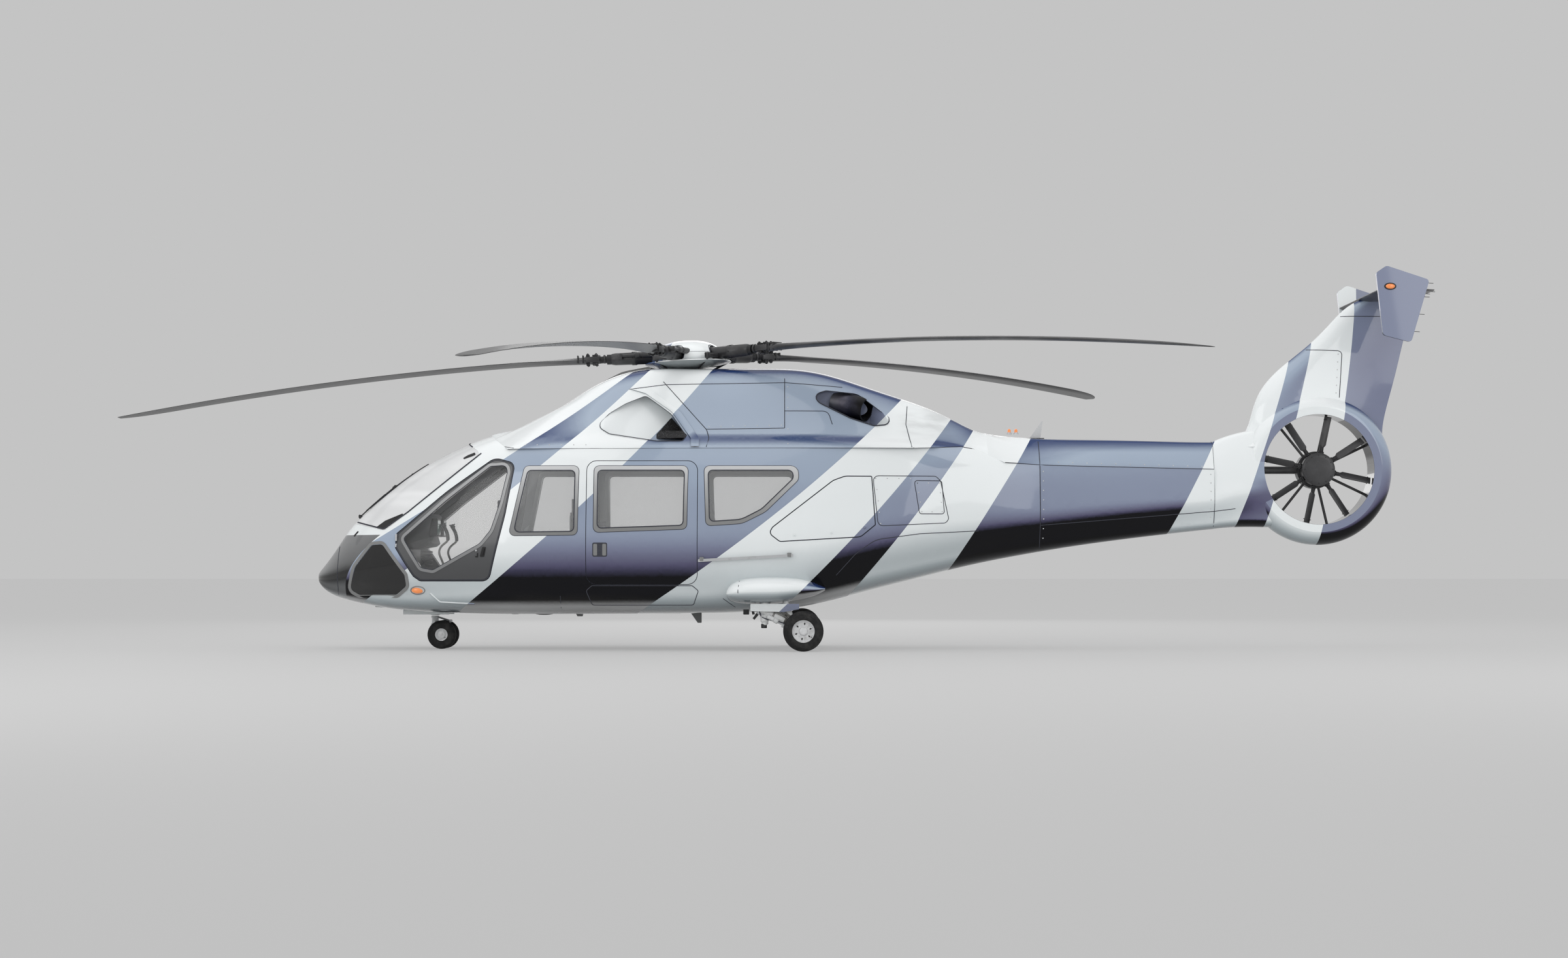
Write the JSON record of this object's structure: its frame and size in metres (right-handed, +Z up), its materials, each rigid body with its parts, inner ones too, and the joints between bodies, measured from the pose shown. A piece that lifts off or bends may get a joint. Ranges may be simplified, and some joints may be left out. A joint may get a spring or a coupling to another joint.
{
  "type": "twin-engine helicopter",
  "caption": "Medium twin-engine helicopter with a five-bladed main rotor, a shrouded tail fan, a T-tail with end plates, wheeled gear and hinged cockpit and baggage doors.",
  "frame": {"origin": "on the ground under the middle of the overall length and width", "axes": "-X towards the nose, +X towards the tail, -Y towards the left side, +Z up"},
  "size_m": [15.2887, 12.7926, 4.4116],
  "materials": {
    "white_paint": "gloss paint on composite",
    "slate_paint": "gloss paint on composite",
    "door_grey": "satin paint on composite",
    "frame_grey": "satin",
    "dark_composite": "satin",
    "clear_glass": "clear",
    "gear_metal": "satin",
    "engine_metal": "cast",
    "hot_metal": "heat-stained",
    "hub_metal": "satin",
    "tyre_rubber": "matt",
    "floor_grey": "matt",
    "seat_cloth": "woven",
    "lamp_orange": "gloss"
  },
  "bodies": {
    "fuselage": {"fuselage": "white_paint", "nose_cone": "dark_composite", "cowling": "white_paint", "shaft_cover": "white_paint", "tail_boom": "white_paint", "tail_fin": "white_paint", "stabilizer": "dark_composite", "end_plates": "slate_paint", "fan_stator": "dark_composite", "sliding_door_left": "white_paint", "sliding_door_right": "white_paint", "window_frames": "frame_grey", "cabin_glass": "clear_glass", "windshield_glass": "clear_glass", "sponsons": "white_paint", "main_leg_left": "gear_metal", "main_leg_right": "gear_metal", "nose_leg": "gear_metal", "main_gear_doors": "white_paint", "nose_gear_doors": "white_paint", "main_gearbox": "engine_metal", "engines": "engine_metal", "exhaust_nozzles": "hot_metal", "cabin_floor": "floor_grey", "instrument_panel": "floor_grey", "pilot_seats": "seat_cloth", "cabin_seats": "seat_cloth", "door_rails": "gear_metal", "antennas": "dark_composite", "beacon": "lamp_orange", "hook_plate": "gear_metal", "jack_pads": "gear_metal"},
    "main_rotor": {"rotor_hub": "hub_metal", "blade_sleeves": "hub_metal", "rotor_cap": "white_paint", "main_blades": "dark_composite"},
    "tail_rotor": {"fan_rotor": "dark_composite"},
    "pilot_door_left": {"pilot_door_left": "door_grey", "pilot_glass_left": "clear_glass"},
    "pilot_door_right": {"pilot_door_right": "door_grey", "pilot_glass_right": "clear_glass"},
    "baggage_door_left": {"baggage_door_left": "white_paint"},
    "baggage_door_right": {"baggage_door_right": "white_paint"},
    "nose_steering": {"nose_fork": "gear_metal"},
    "nose_wheels": {"nose_tyres": "tyre_rubber", "nose_rims": "gear_metal"},
    "wheel_left": {"main_tyre_left": "tyre_rubber", "main_rim_left": "gear_metal"},
    "wheel_right": {"main_tyre_right": "tyre_rubber", "main_rim_right": "gear_metal"}
  },
  "joints": [
    {"name": "main_rotor_turn", "type": "hinge", "parent": "fuselage", "child": "main_rotor", "pos_m": [-0.96, 0, 3.458], "axis": [-0.0436, 0, 0.999], "continuous": true},
    {"name": "tail_fan_turn", "type": "hinge", "parent": "fuselage", "child": "tail_rotor", "pos_m": [6.487, 0, 2.113], "axis": [0, 1, 0], "continuous": true},
    {"name": "pilot_door_left_hinge", "type": "hinge", "parent": "fuselage", "child": "pilot_door_left", "pos_m": [-4.297, -0.7988, 1.35], "axis": [0, 0, -1], "range_deg": [0, 70]},
    {"name": "pilot_door_right_hinge", "type": "hinge", "parent": "fuselage", "child": "pilot_door_right", "pos_m": [-4.297, 0.7988, 1.35], "axis": [0, 0, 1], "range_deg": [0, 70]},
    {"name": "baggage_door_left_hinge", "type": "hinge", "parent": "fuselage", "child": "baggage_door_left", "pos_m": [0.62, -0.9573, 1.999], "axis": [-1, 0, 0], "range_deg": [0, 80]},
    {"name": "baggage_door_right_hinge", "type": "hinge", "parent": "fuselage", "child": "baggage_door_right", "pos_m": [0.62, 0.9573, 1.999], "axis": [1, 0, 0], "range_deg": [0, 80]},
    {"name": "nose_steering_turn", "type": "hinge", "parent": "fuselage", "child": "nose_steering", "pos_m": [-3.945, 0, 0.3], "axis": [0, 0, 1], "range_deg": [-60, 60]},
    {"name": "nose_wheels_spin", "type": "hinge", "parent": "nose_steering", "child": "nose_wheels", "pos_m": [-3.847, 0, 0.168], "axis": [0, 1, 0], "continuous": true},
    {"name": "wheel_left_spin", "type": "hinge", "parent": "fuselage", "child": "wheel_left", "pos_m": [0.4, -1.19, 0.23], "axis": [0, 1, 0], "continuous": true},
    {"name": "wheel_right_spin", "type": "hinge", "parent": "fuselage", "child": "wheel_right", "pos_m": [0.4, 1.19, 0.23], "axis": [0, 1, 0], "continuous": true}
  ]
}
